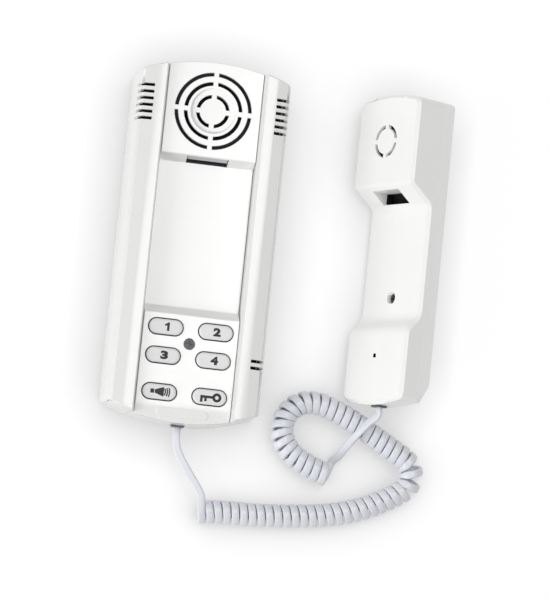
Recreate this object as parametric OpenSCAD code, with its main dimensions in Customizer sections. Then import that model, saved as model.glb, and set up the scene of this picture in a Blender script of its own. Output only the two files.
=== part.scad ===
// Audio intercom: wall station, handset and curly cord, laid out on a table.
// The station lies on its back; the handset lies beside it on its rear bevel.

/* [Station] */
// overall width of the station
base_w = 98; // [92:1:110]
// overall length of the station, end to end
base_len = 226; // [220:1:240]
// radius of the curved top and bottom ends
end_r = 120; // [100:5:200]
// height of the raised flanks above the wall
flank_z = 38; // [36:0.5:42]
// height of the speaker and key panel above the wall
panel_z = 32; // [31:0.5:34]
// depth of the finger recess below the panel
recess_d = 8; // [5:0.5:9]
// width of the centre fascia
fascia_w = 59.4; // [56:0.2:60]
// moulded wall thickness
wall = 2.2; // [1.8:0.1:2.6]
// gap between the fascia and the case
fascia_gap = 0.3; // [0.2:0.05:0.5]
// distance between the wall fixing holes across the plate
fix_x = 60; // [56:1:64]
// distance between the wall fixing holes along the plate
fix_y = 83.5; // [70:0.5:90]

/* [Keys] */
// width of a key cap
key_w = 20.9; // [18:0.1:23]
// height of a key cap
key_h = 9.4; // [9:0.1:12]
// gap around a key cap
key_gap = 0.7; // [0.3:0.05:0.8]
// how far a key stands above the panel
key_proud = 1.6; // [1:0.1:2.5]
// distance of the key columns from the middle
key_x = 15.6; // [14:0.1:16]
// how far a key goes in
key_travel = 1.2; // [0.6:0.1:1.4]

/* [Speaker] */
// outer diameter of the loudspeaker
speaker_d = 52; // [50:0.5:53]
// outer diameter of the grille
grille_d = 48.4; // [44:0.2:49]
// width of a grille slot
slot_w = 2.3; // [1.6:0.1:2.6]

/* [Hook] */
// width of the hook slot
hook_w = 26; // [22:0.5:30]
// side gap of the hook lever in its slot
hook_gap = 0.6; // [0.4:0.1:1]
// radius of the hook pivot pin
hook_pin_r = 1.2; // [1:0.1:1.5]
// running gap of the lever on its pin
pin_gap = 0.08; // [0.04:0.02:0.1]

/* [Handset] */
// width of the handset
hs_w = 57; // [54:0.5:60]
// length of the handset
hs_len = 194; // [190:1:204]
// height of the ear block above the parting line
ear_h = 21; // [19:0.5:24]
// height of the grip above the parting line
grip_h = 4.7; // [4:0.1:6]
// height of the mouth block above the parting line
mouth_h = 13.5; // [12.5:0.5:16]
// depth of the rear shell behind the parting line
rear_d = 18; // [17:0.5:20]

/* [Cord] */
// width of the flat cord
cord_w = 4.8; // [3.6:0.1:5]
// thickness of the flat cord
cord_t = 2.8; // [2.2:0.1:3]
// outside diameter of the curls
curl_d = 14.6; // [13:0.2:15]
// distance from curl to curl where the cord lies straight
curl_pitch = 5.35; // [5.2:0.05:6]

/* [Hidden] */
$fn = 64;

white = [0.93, 0.93, 0.92];
pale = [0.84, 0.85, 0.87];
black = [0.12, 0.12, 0.13];
steel = [0.62, 0.63, 0.65];
gold = [0.83, 0.68, 0.32];

// station stack-up
half_l = base_len / 2;
half_w = base_w / 2;
fascia_t = 2.5;
seat_z = panel_z - fascia_t;
floor_z = panel_z - recess_d;
plate_t = 2.5;
plate_gap = 0.25;
inner_x = fascia_w / 2 + fascia_gap;
board_z = 12;
board_t = 1.6;
headroom = floor_z - fascia_t - board_z;
band_y = -half_l + 9.6;
band_drop = 2.4;
lug_x = half_w - 8;
lug_y = half_l - 51;
key_rows = [58.1 - half_l, 40.4 - half_l, 17.7 - half_l];
screw_y = 49.1 - half_l;
spk_y = half_l - 30.6;
spk_r = speaker_d / 2;
spk_hole = (spk_r + 2.28) / sqrt(2);
dish_r = grille_d / 2 - 9.9;
dish_d = 2.8;
// ledges of the finger recess: foot and top
top_foot = half_l - 63.4;
top_edge = half_l - 59.7;
low_foot = 72.5 - half_l;
low_edge = 66.8 - half_l;
// hook lever
pivot = [half_l - 51, 15];
tongue_w = hook_w - 2 * hook_gap;
post_y = [29 - half_l, half_l - 69];
post_x = 21;
jack_z = 12;
cable_y = half_l - 91;
socket_w = 13;
// modular plug
plug_w = 7.6;
plug_h = 6.2;
plug_l = 15.5;
plug_gap = 0.15;
plug_out = 1.2;
socket_l = plug_l - plug_out + 1;
jack_y = end_r - half_l - sqrt(pow(end_r - wall, 2) - pow(socket_w / 2, 2));
// handset
hs_half = hs_len / 2;
hs_r = 120;
hs_jack_y = hs_r - hs_half - sqrt(pow(hs_r - wall, 2) - pow(socket_w / 2, 2));
bevel = rear_d * tan(30);
ear_foot = hs_half - 69.1;
ear_top = hs_half - 57.5;
mouth_foot = 55.4 - hs_half;
mouth_top = 46.2 - hs_half;
ear_y = hs_half - 29.5;
mic_y = 30.5 - hs_half;
hs_screw_y = 68 - hs_half;
hs_jack_z = 6;
seam_z = -6;
hs_pos = [127.5, 9, hs_w / 2 * sin(60)];
hs_roll = -60;
shoulder_k = (ear_h - grip_h) / (ear_top - ear_foot);
shoulder_t = wall * sqrt(1 + shoulder_k * shoulder_k);
pocket_y = [ear_foot + 2, ear_foot + 9.2];

// curved-ended outline with rounded corners, drawn in by "i"
module plan(len, w, r, i, c) {
    hl = len / 2;
    rc = max(c - i, 0.8);
    cx = w / 2 - i - rc;
    cy = hl - r + sqrt(pow(r - i - rc, 2) - cx * cx);
    a = atan2(cy - hl + r, cx);
    arc = [for (k = [6:-1:0]) [cx + rc * cos(a * k / 6), cy + rc * sin(a * k / 6)]];
    start = 3 * arc[0] - 2 * arc[1];
    stop = 3 * arc[6] - 2 * arc[5];
    difference() {
        intersection() {
            square([w - 2 * i, len + 2], center = true);
            translate([0, hl - r])
                circle(r - i, $fn = 180);
            translate([0, r - hl])
                circle(r - i, $fn = 180);
        }
        for (p = [0, 1], q = [0, 1])
            mirror([p, 0])
                mirror([0, q])
                    polygon(concat([start], [for (k = [1:5]) arc[k]],
                        [stop, [w, stop[1]], [w, len], [start[0], len]]));
    }
}

module base_plan(i) {
    plan(base_len, base_w, end_r, i, 5);
}

module hs_plan(i) {
    plan(hs_len, hs_w, hs_r, i, 5);
}

// sweep a section drawn in (y, z) across x, centred
module across(width) {
    translate([-width / 2, 0, 0])
        rotate([90, 0, 90])
            linear_extrude(width)
                children();
}

// sweep a section drawn in (x, z) along y, centred
module along(length) {
    translate([0, length / 2, 0])
        rotate([90, 0, 0])
            linear_extrude(length)
                children();
}

module stadium(w, h) {
    square([w - h, h], center = true);
    for (s = [-1, 1])
        translate([s * (w - h) / 2, 0])
            circle(h / 2);
}

// bore or pin along x
module x_rod(r, length) {
    rotate([0, 90, 0])
        cylinder(r = r, h = length, center = true);
}

// pan-head screw, head seat at z = 0, shank downwards
module screw(head_r, head_h, shank_r, length) {
    difference() {
        union() {
            cylinder(r = head_r, h = head_h);
            translate([0, 0, -length])
                cylinder(r = shank_r, h = length + 0.1);
        }
        for (a = [0, 90])
            rotate([0, 0, a])
                translate([-head_r * 0.62, -head_r * 0.14, head_h * 0.45])
                    cube([head_r * 1.24, head_r * 0.28, head_h]);
    }
}

// outer outline of one flank in section, from the wall up and in to the panel
function flank_out(s) = [[s * half_w, 0], [s * half_w, 15], [s * (half_w - 0.7), 24],
    [s * (half_w - 2.8), flank_z - 3], [s * (half_w - 3.9), flank_z - 2.3], [s * (half_w - 4.2), flank_z - 1.3],
    [s * (half_w - 11), flank_z], [s * (inner_x + 1.4), flank_z], [s * inner_x, panel_z],
    [s * inner_x, seat_z]];

// inner outline of one flank, ending at the top of the open middle
function flank_in(s) = [[s * (half_w - wall), -1], [s * (half_w - wall), 15], [s * (half_w - 0.7 - wall), 23.7],
    [s * (half_w - 2.8 - wall * 0.95), flank_z - 1.7 - wall], [s * (half_w - 11.1), flank_z - wall],
    [s * (inner_x + 1.4 + wall * 0.85), flank_z - wall], [s * (inner_x + wall), panel_z - 0.4],
    [s * (inner_x + wall), floor_z - 5], [s * inner_x, floor_z - 5], [s * inner_x, 70]];

function backwards(v) = [for (i = [len(v) - 1:-1:0]) v[i]];

module vent(y) {
    translate([half_w - 10.7, y - 1, flank_z - 11.5])
        cube([14, 2, 20]);
}

module base_case() {
    color(white)
        difference() {
            union() {
                difference() {
                    intersection() {
                        along(base_len + 4)
                            polygon(concat(flank_out(1), backwards(flank_out(-1))));
                        linear_extrude(60)
                            base_plan(0);
                    }
                    intersection() {
                        along(base_len)
                            polygon(concat(flank_in(1), backwards(flank_in(-1))));
                        translate([0, 0, -2])
                            linear_extrude(80)
                                base_plan(wall);
                    }
                    translate([-inner_x, -half_l - 1, seat_z - band_drop])
                        cube([2 * inner_x, half_l, 20]);
                }
                for (x = [-lug_x, lug_x], y = [-lug_y, lug_y])
                    translate([x, y, plate_t])
                        cylinder(r = 3.5, h = flank_z - wall - 2 - plate_t);
            }
            for (x = [-lug_x, lug_x], y = [-lug_y, lug_y])
                translate([x, y, 0])
                    cylinder(r = 1.3, h = 18);
            for (i = [0:5])
                vent(spk_y + 11 - 4.2 * i);
            for (i = [0:5])
                mirror([1, 0, 0])
                    vent(spk_y + 11 - 4.2 * i);
            vent(key_rows[1] + 2);
            vent(key_rows[1] - 2.2);
            translate([-4.6, -half_l - 1, jack_z - 4.2])
                cube([9.2, wall + 3, 8.4]);
        }
}

module ring_slot(r) {
    difference() {
        cylinder(r = r, h = 30);
        translate([0, 0, -1])
            cylinder(r = r - slot_w, h = 32);
        for (a = [0, 90])
            rotate([0, 0, a])
                translate([-40, -1.5, -1])
                    cube([80, 3, 32]);
    }
}

module fascia_section() {
    t = fascia_t;
    polygon([[-half_l - 2, panel_z - band_drop * 1.2], [band_y, panel_z], [low_edge, panel_z],
        [low_foot, floor_z], [top_foot, floor_z], [top_edge, panel_z], [half_l + 2, panel_z],
        [half_l + 2, panel_z - t], [top_edge + 1.6, panel_z - t], [top_foot + 1.6, floor_z - t],
        [low_foot - 1.7, floor_z - t], [low_edge - 1.7, panel_z - t], [band_y, panel_z - t],
        [band_y, panel_z - t - band_drop], [-half_l - 2, panel_z - t - band_drop]]);
}

// round dish, level with the panel at its upper right and deepest at its lower left
module scoop() {
    intersection() {
        translate([0, 0, -dish_d])
            cylinder(r = dish_r, h = 2 * dish_d);
        rotate([0, 0, 45])
            translate([0, 0, -dish_d / 2])
                rotate([0, -atan(dish_d / 2 / dish_r), 0])
                    translate([-2 * dish_r, -2 * dish_r, 0])
                        cube([4 * dish_r, 4 * dish_r, 4 * dish_d]);
    }
}

module base_fascia() {
    color(white)
        difference() {
            union() {
                intersection() {
                    across(fascia_w)
                        fascia_section();
                    linear_extrude(60)
                        base_plan(0);
                }
                translate([0, spk_y, seat_z - 1.6])
                    cylinder(r = dish_r + 0.7, h = 2);
                for (x = [-spk_hole, spk_hole], y = [-spk_hole, spk_hole])
                    translate([x, spk_y + y, seat_z - 2])
                        cylinder(r = 2.2, h = 2.5);
                translate([0, screw_y, floor_z - 2])
                    cylinder(r = 5, h = recess_d);
            }
            translate([0, spk_y, seat_z - 6]) {
                ring_slot(grille_d / 2);
                ring_slot(grille_d / 2 - 5.9);
                ring_slot(grille_d / 2 - 13.8);
            }
            translate([0, spk_y, panel_z])
                scoop();
            for (x = [-spk_hole, spk_hole], y = [-spk_hole, spk_hole])
                translate([x, spk_y + y, seat_z - 3])
                    cylinder(r = 1.25, h = 4);
            translate([-hook_w / 2, top_foot, floor_z - fascia_t - 1])
                cube([hook_w, 7.5, recess_d + fascia_t + 0.2]);
            for (s = [-1, 1], y = key_rows)
                translate([s * key_x, y, seat_z - 5])
                    linear_extrude(20)
                        stadium(key_w + 2 * key_gap, key_h + 2 * key_gap);
            translate([0, screw_y, floor_z + 4])
                cylinder(r = 3.6, h = 20);
            translate([0, screw_y, floor_z - 5])
                cylinder(r = 1.8, h = 20);
        }
}

module rear_plate() {
    color(black)
        difference() {
            union() {
                linear_extrude(plate_t)
                    base_plan(wall + plate_gap);
                for (x = [-post_x, post_x], y = post_y)
                    translate([x, y, plate_t - 0.5])
                        cylinder(r = 3, h = board_z - board_t - plate_t + 0.5);
                translate([0, screw_y, plate_t - 0.5])
                    cylinder(r = 4, h = floor_z - 2 - plate_t + 0.5);
                for (s = [-1, 1])
                    translate([s * (tongue_w / 2 + 2.6) - 2, pivot[0] - 4, plate_t - 0.5])
                        cube([4, 8, pivot[1] + 4 - plate_t]);
            }
            for (x = [-lug_x, lug_x], y = [-lug_y, lug_y])
                translate([x, y, -1]) {
                    cylinder(r = 1.6, h = 10);
                    cylinder(r = 3.1, h = 2.4);
                }
            for (x = [-fix_x / 2, fix_x / 2], y = [-fix_y / 2, fix_y / 2])
                translate([x, y, -1])
                    cylinder(r = 2.2, h = 10);
            translate([0, cable_y, -1])
                cylinder(r = 11, h = 10);
            for (x = [-post_x, post_x], y = post_y)
                translate([x, y, 2])
                    cylinder(r = 1.2, h = 20);
            translate([0, screw_y, 5])
                cylinder(r = 1.3, h = 30);
            translate([0, pivot[0], pivot[1]])
                x_rod(hook_pin_r, base_w);
        }
}

module case_screws() {
    color(steel)
        for (x = [-lug_x, lug_x], y = [-lug_y, lug_y])
            translate([x, y, 1.4])
                rotate([180, 0, 0])
                    screw(2.8, 1.2, 1.3, 11);
}

module front_screw() {
    color(steel)
        translate([0, screw_y, floor_z + 4])
            screw(3.3, 2.2, 1.3, 20);
}

module speaker_gasket() {
    color(black)
        translate([0, spk_y, seat_z - 1])
            difference() {
                cylinder(r = spk_r, h = 1);
                translate([0, 0, -1])
                    cylinder(r = spk_r - 1.4, h = 3);
            }
}

module speaker_frame() {
    r = spk_r;
    z = seat_z - 1;
    color(steel)
        translate([0, spk_y, 0])
            rotate_extrude()
                polygon([[r, z], [r, z - 1], [r - 2.4, z - 1], [15, 16], [7, 16], [7, 17], [14.6, 17],
                    [r - 3.2, z - 0.6], [r - 3.2, z]]);
}

module speaker_cone() {
    r = spk_r - 3.2;
    z = seat_z - 1;
    color(black)
        translate([0, spk_y, 0])
            rotate_extrude()
                polygon([[r, z], [r, z - 0.5], [r - 2, z - 0.6], [9, 19.6], [5, 19.4], [5, 17], [4.4, 17],
                    [4.4, 20.2], [0, 21.8], [0, 22.3], [4.6, 20.8], [8.8, 20.4], [r - 2.2, z]]);
}

module speaker_magnet() {
    color(steel)
        translate([0, spk_y, 0]) {
            translate([0, 0, 9])
                cylinder(r = 14, h = 7);
            translate([0, 0, 15.9])
                cylinder(r = 3.9, h = 3);
        }
}

module speaker_screws() {
    color(steel)
        for (x = [-spk_hole, spk_hole], y = [-spk_hole, spk_hole])
            translate([x, spk_y + y, seat_z - 2])
                rotate([180, 0, 0])
                    screw(2.8, 1.5, 1.25, 2.9);
}

module main_board() {
    color([0.16, 0.36, 0.22])
        translate([0, 0, board_z - board_t])
            difference() {
                translate([-25, 11 - half_l, 0])
                    cube([50, base_len - 68, board_t]);
                translate([-socket_w / 2 - 1.5, 3 - half_l, -1])
                    cube([socket_w + 3, jack_y + socket_l + half_l - 2.5, 5]);
                for (x = [-post_x, post_x], y = post_y)
                    translate([x, y, -1])
                        cylinder(r = 1.4, h = 5);
                translate([0, screw_y, -1])
                    cylinder(r = 5, h = 5);
            }
}

module board_screws() {
    color(steel)
        for (x = [-post_x, post_x], y = post_y)
            translate([x, y, board_z])
                screw(2.4, 1.6, 1.2, 7);
}

module terminal_block() {
    color([0.18, 0.42, 0.36])
        difference() {
            translate([-15.5, cable_y + 6, board_z])
                cube([31, 9, headroom - 1.1]);
            for (i = [0:5])
                translate([-12.5 + 5 * i, cable_y + 10.5, board_z + 4]) {
                    cylinder(r = 1.9, h = 9);
                    translate([-1.4, 2.5, -2.5])
                        cube([2.8, 9, 3]);
                }
        }
}

module terminal_screws() {
    color(steel)
        for (i = [0:5])
            translate([-12.5 + 5 * i, cable_y + 10.5, board_z + 4])
                difference() {
                    cylinder(r = 1.8, h = 2.6);
                    translate([-2, -0.3, 1.8])
                        cube([4, 0.6, 2]);
                }
}

module capacitors() {
    color([0.14, 0.17, 0.32]) {
        translate([-16, cable_y - 10, board_z])
            cylinder(r = 4, h = headroom - 1.3);
        translate([-16, cable_y - 22, board_z])
            cylinder(r = 3.2, h = headroom - 1.9);
        translate([18, cable_y - 30, board_z])
            cylinder(r = 3.2, h = headroom - 1.9);
    }
}

module logic_chips() {
    color(black) {
        translate([4, cable_y - 46, board_z])
            cube([7, 20, 3.4]);
        translate([-16, cable_y - 46, board_z])
            cube([7, 10, 3.4]);
    }
}

module door_relay() {
    color([0.2, 0.3, 0.55])
        translate([8, cable_y - 18, board_z])
            cube([12, 16, headroom - 0.9]);
}

module key_switches() {
    color(black)
        for (s = [-1, 1], y = key_rows)
            translate([s * key_x, y, board_z])
                difference() {
                    translate([-4, -4, 0])
                        cube([8, 8, key_travel + 6.3]);
                    translate([0, 0, 2])
                        cylinder(r = 2.15, h = 9);
                }
}

module key(x, y) {
    color(pale)
        translate([x, y, 0]) {
            translate([0, 0, seat_z - 1.6])
                linear_extrude(fascia_t + key_proud + 1.6)
                    stadium(key_w, key_h);
            translate([0, 0, seat_z - 1.6])
                linear_extrude(1.5)
                    stadium(key_w + 2.6, key_h + 2.6);
            translate([0, 0, board_z + 4.3 + key_travel])
                cylinder(r = 2, h = seat_z - board_z - 4.8 - key_travel);
        }
}

module key_1() {
    key(-key_x, key_rows[0]);
}

module key_2() {
    key(key_x, key_rows[0]);
}

module key_3() {
    key(-key_x, key_rows[1]);
}

module key_4() {
    key(key_x, key_rows[1]);
}

module key_call() {
    key(-key_x, key_rows[2]);
}

module key_door() {
    key(key_x, key_rows[2]);
}

module hook_pin() {
    color(steel)
        translate([0, pivot[0], pivot[1]])
            x_rod(hook_pin_r, tongue_w + 9.2);
}

module hook_switch() {
    color(black) {
        translate([-tongue_w / 2, pivot[0] - 13, board_z])
            cube([tongue_w, 6, headroom - 0.5]);
        translate([0, pivot[0] - 7.1, board_z + headroom - 2.1])
            rotate([-90, 0, 0])
                cylinder(r = 0.9, h = 0.5);
    }
}

module hook_lever() {
    y0 = top_foot + 0.9;
    k = (top_edge - top_foot) / recess_d;
    lo = floor_z + recess_d / 2 - 1.5;
    hi = panel_z - 1.6;
    back = spk_y - spk_r - hook_gap;
    color(pale)
        difference() {
            union() {
                across(tongue_w)
                    polygon([[y0 + (lo - floor_z) * k, lo], [y0 + (hi - floor_z) * k, hi], [back, hi],
                        [back, lo - 0.4], [pivot[0] + 2, pivot[1] + 2], [pivot[0] - 1.5, pivot[1] - 1.5],
                        [pivot[0] - 5.8, lo - 3.5]]);
                translate([0, pivot[0], pivot[1]])
                    x_rod(3, tongue_w);
            }
            translate([0, pivot[0], pivot[1]])
                x_rod(hook_pin_r + pin_gap, base_w);
        }
}

// modular socket, mouth at y = 0 facing -y, bore centred on z = 0
module socket(top, bottom) {
    difference() {
        translate([-socket_w / 2, 0, -bottom])
            cube([socket_w, socket_l, top + bottom]);
        translate([-plug_w / 2 - plug_gap, -1, -plug_h / 2 - plug_gap])
            cube([plug_w + 2 * plug_gap, plug_l - plug_out - wall + 1, plug_h + 2 * plug_gap]);
    }
}

// modular plug, cord end at y = 0, nose towards +y
module plug() {
    difference() {
        union() {
            translate([-plug_w / 2, 0, -plug_h / 2])
                cube([plug_w, plug_l, plug_h]);
            translate([-1.6, 0.4, plug_h / 2 - 0.05])
                cube([3.2, 2, 1]);
        }
        for (i = [-1.5:1:1.5])
            translate([i * 1.02 - 0.2, plug_l - 4, -plug_h / 2 - 1])
                cube([0.4, 3, 3]);
    }
}

module plug_contacts() {
    for (i = [-1.5:1:1.5])
        translate([i * 1.02 - 0.2, plug_l - 4, -plug_h / 2])
            cube([0.4, 3, 2]);
}

module base_jack() {
    color(black)
        translate([0, jack_y, jack_z])
            socket(5, jack_z - plate_t);
}

module at_base_plug() {
    translate([0, -half_l - plug_out, jack_z])
        children();
}

module base_plug() {
    color(pale)
        at_base_plug()
            plug();
}

module base_plug_contacts() {
    color(gold)
        at_base_plug()
            plug_contacts();
}

// handset frame: x across, y towards the ear, z out of the front, parting line at z = 0
module in_handset() {
    translate(hs_pos)
        rotate([0, hs_roll, 0])
            children();
}

// rounds the bend at "b" between "a" and "c" in six steps
function bend_at(a, b, c, r) =
    let (u = (a - b) / norm(a - b), v = (c - b) / norm(c - b), half = acos(u * v) / 2,
        mid = b + (u + v) / norm(u + v) * r / sin(half),
        from = b + u * r / tan(half) - mid, to = b + v * r / tan(half) - mid,
        start = atan2(from[1], from[0]), way = atan2(to[1], to[0]) - start,
        sweep = way - 360 * round(way / 360))
        [for (k = [0:6]) mid + r * [cos(start + sweep * k / 6), sin(start + sweep * k / 6)]];

// side outline of the front: mouth block, grip and ear block
module front_outside() {
    e = hs_half + 2;
    m = [-e, mouth_h];
    a = [mouth_top, mouth_h];
    b = [mouth_foot, grip_h];
    c = [ear_foot, grip_h];
    d = [ear_top, ear_h];
    f = [e, ear_h];
    polygon(concat([[-e, 0], m], bend_at(m, a, b, 9), bend_at(a, b, c, 10), bend_at(b, c, d, 5.5),
        bend_at(c, d, f, 3.5), [f, [e, 0]]));
}

module front_inside(t) {
    e = hs_half + 2;
    k = (mouth_h - grip_h) / (mouth_foot - mouth_top);
    m = t * sqrt(1 + k * k);
    s = t * sqrt(1 + shoulder_k * shoulder_k);
    polygon([[-e, -0.01 * t], [-e, mouth_h - t], [mouth_top - (m - t) / k, mouth_h - t],
        [mouth_foot - (m - t) / k, grip_h - t], [ear_foot + (s - t) / shoulder_k, grip_h - t],
        [ear_top + (s - t) / shoulder_k, ear_h - t], [e, ear_h - t], [e, -0.01 * t]]);
}

module rear_profile(t) {
    e = hs_half + 2;
    polygon([[-e, 0.01 * t], [-e, -0.6], [-hs_half + 15 + t * 0.3, t - rear_d], [hs_half - 3, t - rear_d],
        [e, 5 + t - rear_d], [e, 0.01 * t]]);
}

module rear_section(t) {
    polygon([[-hs_w / 2 + t * 1.155, 0.01 * t], [bevel - hs_w / 2 + t * 0.577, t - rear_d],
        [hs_w / 2 - bevel - t * 0.577, t - rear_d], [hs_w / 2 - t * 1.155, 0.01 * t]]);
}

module front_block(t) {
    intersection() {
        across(hs_w)
            children();
        translate([0, 0, -1])
            linear_extrude(60)
                hs_plan(t);
    }
}

module rear_block(t) {
    intersection() {
        across(hs_w)
            rear_profile(t);
        along(hs_len + 4)
            rear_section(t);
        translate([0, 0, -40])
            linear_extrude(60)
                hs_plan(t);
    }
}

module handset_front_shell() {
    color(white)
        in_handset()
            difference() {
                union() {
                    difference() {
                        front_block(0)
                            front_outside();
                        front_block(wall)
                            front_inside(wall);
                    }
                    translate([0, hs_screw_y, seam_z])
                        cylinder(r = 5.6, h = grip_h - seam_z - 1);
                }
                translate([0, ear_y, 0])
                    difference() {
                        cylinder(r = 10.4, h = 60);
                        translate([0, 0, -1])
                            cylinder(r = 8.1, h = 62);
                        for (a = [0, 90])
                            rotate([0, 0, a])
                                translate([-20, -1.4, -1])
                                    cube([40, 2.8, 62]);
                    }
                translate([-1.25, mic_y - 1.25, mouth_h - 6])
                    cube([2.5, 2.5, 12]);
                translate([0, hs_screw_y, seam_z + 6])
                    cylinder(r = 3.85, h = 20);
                translate([0, hs_screw_y, seam_z - 5])
                    cylinder(r = 1.8, h = 20);
                translate([-12.5, pocket_y[0], grip_h - wall])
                    cube([25, pocket_y[1] - pocket_y[0], 20]);
                translate([-4.6, -hs_half - 1, hs_jack_z - 4.2])
                    cube([9.2, wall + 3, 8.4]);
            }
}

module handset_rear_shell() {
    color(white)
        in_handset()
            difference() {
                union() {
                    difference() {
                        rear_block(0);
                        rear_block(wall);
                    }
                    translate([0, hs_screw_y, wall - rear_d - 0.5])
                        cylinder(r = 4.5, h = rear_d + seam_z - wall + 0.5);
                }
                translate([0, hs_screw_y, wall - rear_d + 0.5])
                    cylinder(r = 1.3, h = 30);
            }
}

module handset_screw() {
    color(steel)
        in_handset()
            translate([0, hs_screw_y, seam_z + 6])
                screw(3.3, 2.2, 1.3, 13);
}

module hook_pocket() {
    ya = ear_foot + 1.4;
    yb = pocket_y[1] + 2;
    za = grip_h + (ya - ear_foot) * shoulder_k - shoulder_t;
    zb = grip_h + (yb - ear_foot) * shoulder_k - shoulder_t;
    color(black)
        in_handset()
            difference() {
                across(29)
                    polygon([[ya, -2], [ya, za], [yb, zb], [yb, -2]]);
                translate([-12.5, pocket_y[0], 0])
                    cube([25, pocket_y[1] - pocket_y[0], 30]);
            }
}

module receiver_ring() {
    color(black)
        in_handset()
            translate([0, ear_y, ear_h - wall - 1.5])
                difference() {
                    cylinder(r = 17, h = 1.5);
                    translate([0, 0, -1])
                        cylinder(r = 13, h = 4);
                }
}

module receiver_capsule() {
    z = ear_h - wall - 1.5;
    color(black)
        in_handset()
            translate([0, ear_y, 0])
                rotate_extrude()
                    polygon([[0, z - 11], [8, z - 11], [8, z - 8], [16.4, z - 8], [17, z - 7.4], [17, z],
                        [12, z], [11, z - 0.8], [0, z - 0.8]]);
}

module mic_boot() {
    color(black)
        in_handset()
            translate([0, mic_y, mouth_h - wall - 6.4])
                difference() {
                    cylinder(r = 7, h = 6.4);
                    translate([0, 0, -1])
                        cylinder(r = 4.85, h = 6.6);
                    cylinder(r = 2.2, h = 10);
                }
}

module mic_capsule() {
    color(steel)
        in_handset()
            translate([0, mic_y, mouth_h - wall - 6.4])
                cylinder(r = 4.85, h = 5.6);
}

module ballast_weight() {
    color(steel)
        in_handset()
            translate([-13, -18, wall - rear_d])
                cube([26, 46, 7]);
}

module handset_jack() {
    color(black)
        in_handset()
            translate([0, hs_jack_y, hs_jack_z])
                socket(mouth_h - wall - hs_jack_z, 6);
}

module at_handset_plug() {
    in_handset()
        translate([0, -hs_half - plug_out, hs_jack_z])
            children();
}

module handset_plug() {
    color(pale)
        at_handset_plug()
            plug();
}

module handset_plug_contacts() {
    color(gold)
        at_handset_plug()
            plug_contacts();
}

// axis of the curls on the table, from the station end to the handset end
curl_route = [[20, -164], [34, -162.7], [54, -162.3], [77, -160.5], [100, -157.3], [119, -151.8],
    [133.5, -144.9], [144, -138.3], [148.6, -133.7], [150.3, -127.5], [148.6, -121.3], [144, -116.7],
    [134, -110.9], [122.5, -104.3], [110.5, -97.8], [98.5, -92.3], [87, -88.8], [76.5, -90],
    [69, -96.5], [66.2, -105.5], [68.3, -114.7], [75.2, -122.7], [85.5, -128.3], [97, -132.5]];
curl_r = (curl_d - cord_t) / 2;
curl_z = curl_d / 2 + 0.1;
curl_gap = 0.1;
// share of its width that the cord keeps on the inside of a bend, where the curls crowd
nip = 0.62;
route_n = len(curl_route);
fine = 14;

// smooth curve through the route, as [x, y, slope x, slope y]
function spline(p0, p1, p2, p3, t) =
    0.5 * (2 * p1 + (p2 - p0) * t + (2 * p0 - 5 * p1 + 4 * p2 - p3) * t * t
        + (3 * p1 - p0 - 3 * p2 + p3) * t * t * t);
function route_at(i) =
    i < 0 ? 2 * curl_route[0] - curl_route[1]
    : i >= route_n ? 2 * curl_route[route_n - 1] - curl_route[route_n - 2]
    : curl_route[i];
axis = [for (i = [0:route_n - 2], j = [0:fine - 1])
        spline(route_at(i - 1), route_at(i), route_at(i + 1), route_at(i + 2), j / fine),
    curl_route[route_n - 1]];
axis_n = len(axis);
step = [for (i = [0:axis_n - 2]) norm(axis[i + 1] - axis[i])];
turn_raw = [for (i = [0:axis_n - 2]) let (d = axis[i + 1] - axis[i]) atan2(d[1], d[0])];
bend = [for (i = [0:axis_n - 3]) let (a = turn_raw[i + 1] - turn_raw[i]) a - 360 * round(a / 360)];
head = [for (i = 0, a = turn_raw[0]; i < axis_n - 1; a = a + (i < axis_n - 2 ? bend[i] : 0), i = i + 1) a];
span = 10;
curve = [for (i = [0:axis_n - 2])
    let (a = max(0, i - span), b = min(axis_n - 2, i + span))
        (head[b] - head[a]) * PI / 180 / (norm(axis[b] - axis[a]) + 0.01)];
pitch = [for (i = [0:axis_n - 2])
    max(curl_pitch, (cord_w * nip + curl_gap) / (1 - min(0.62, (curl_d / 2) * abs(curve[i]))))];
turns_raw = [for (i = 0, s = 0; i < axis_n; s = s + (i < axis_n - 1 ? step[i] / pitch[i] : 0), i = i + 1) s];
turns = floor(turns_raw[axis_n - 1]) + 0.5;
fit = turns / turns_raw[axis_n - 1] * 360;
table_x = [for (i = [0:axis_n - 1]) [turns_raw[i] * fit, axis[i][0]]];
table_y = [for (i = [0:axis_n - 1]) [turns_raw[i] * fit, axis[i][1]]];
table_h = [for (i = [0:axis_n - 2]) [turns_raw[i] * fit, head[i]]];
table_p = [for (i = [0:axis_n - 2]) [turns_raw[i] * fit, pitch[i] * 360 / fit]];
table_k = [for (i = [0:axis_n - 2]) [turns_raw[i] * fit, curve[i] * curl_d / 2]];

// middle of the cord at "a" degrees of winding, top of the curl at the start
function curl_at(a) =
    let (h = lookup(a, table_h), x = lookup(a, table_x), y = lookup(a, table_y))
        [x - sin(h) * curl_r * cos(a + 90), y + cos(h) * curl_r * cos(a + 90), curl_z + curl_r * sin(a + 90)];
function out_at(a) =
    let (h = lookup(a, table_h)) [-sin(h) * cos(a + 90), cos(h) * cos(a + 90), sin(a + 90)];
// width of the cord there, less where the curls crowd on the inside of a bend
function width_at(a) =
    min(cord_w, lookup(a, table_p) * (1 - lookup(a, table_k) * cos(a + 90)) - curl_gap);
function unit(v) = v / norm(v);

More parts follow.
